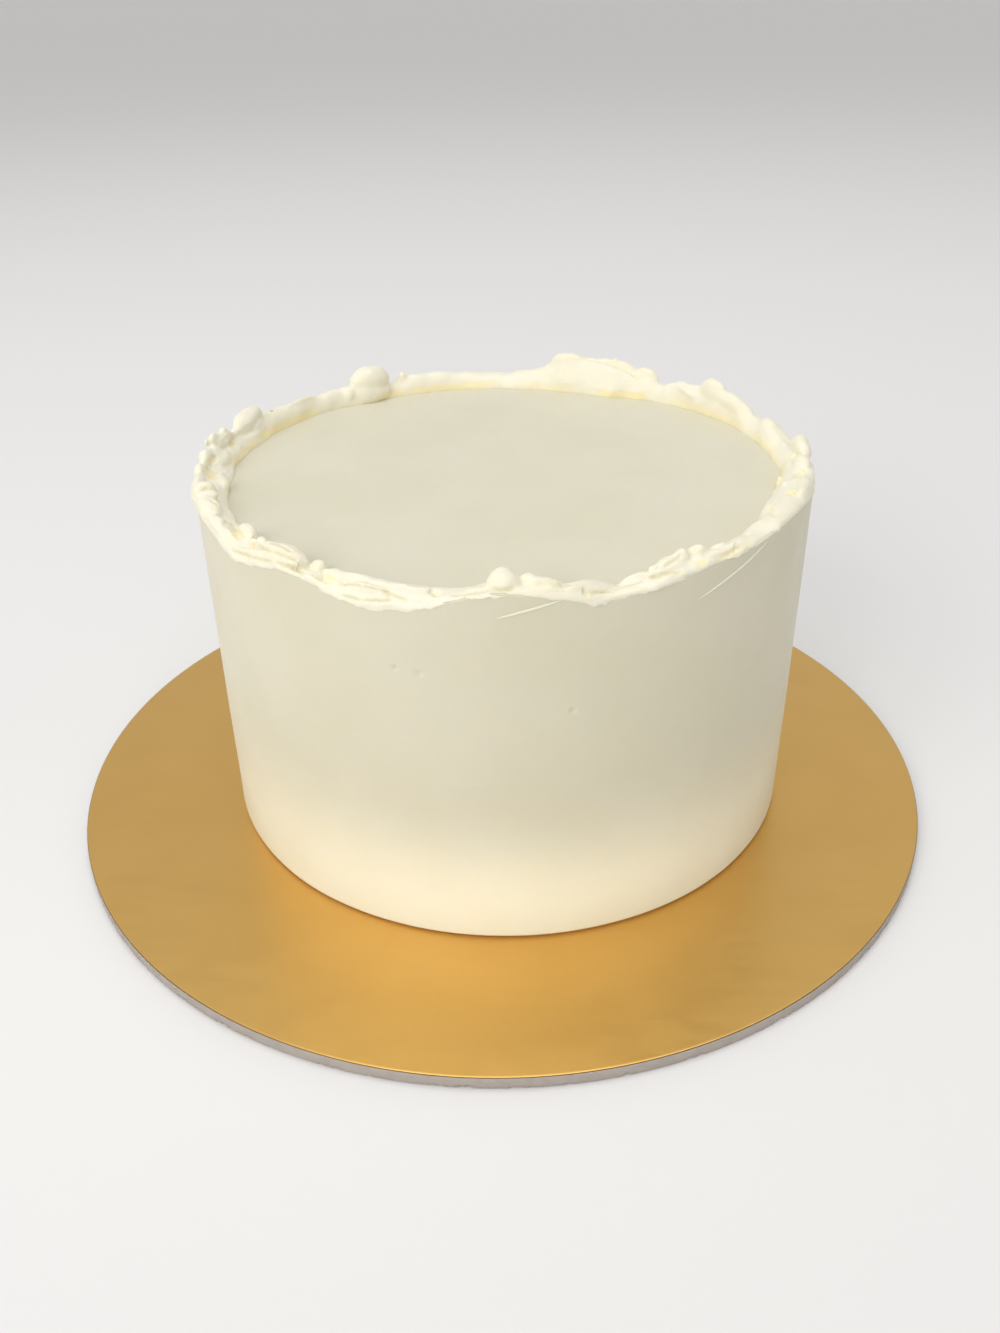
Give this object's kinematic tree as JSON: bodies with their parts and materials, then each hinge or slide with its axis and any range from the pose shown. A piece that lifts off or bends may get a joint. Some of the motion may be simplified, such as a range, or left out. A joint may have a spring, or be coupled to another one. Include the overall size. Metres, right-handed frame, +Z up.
{
  "type": "buttercream cake on board",
  "caption": "Plain round single-tier cake iced in ivory buttercream, with a ragged raised rim round a recessed flat top, on a round gold-faced board.",
  "frame": {"origin": "middle of the board's underside, on the surface that it stands on", "axes": "+Z up through the board; -Y towards the viewer of the picture; +X to the viewer's right. The cake stands 2.46 mm towards +X of the board's middle"},
  "size_m": [0.3048, 0.3048, 0.1325],
  "materials": {
    "buttercream": "smooth scraped buttercream, soft sheen",
    "gold_foil": "satin metallic foil on card",
    "white_hardboard": "matt white-painted hardboard edge"
  },
  "bodies": {
    "root": {"cake": "buttercream", "board_foil": "gold_foil", "board_core": "white_hardboard"}
  },
  "joints": []
}
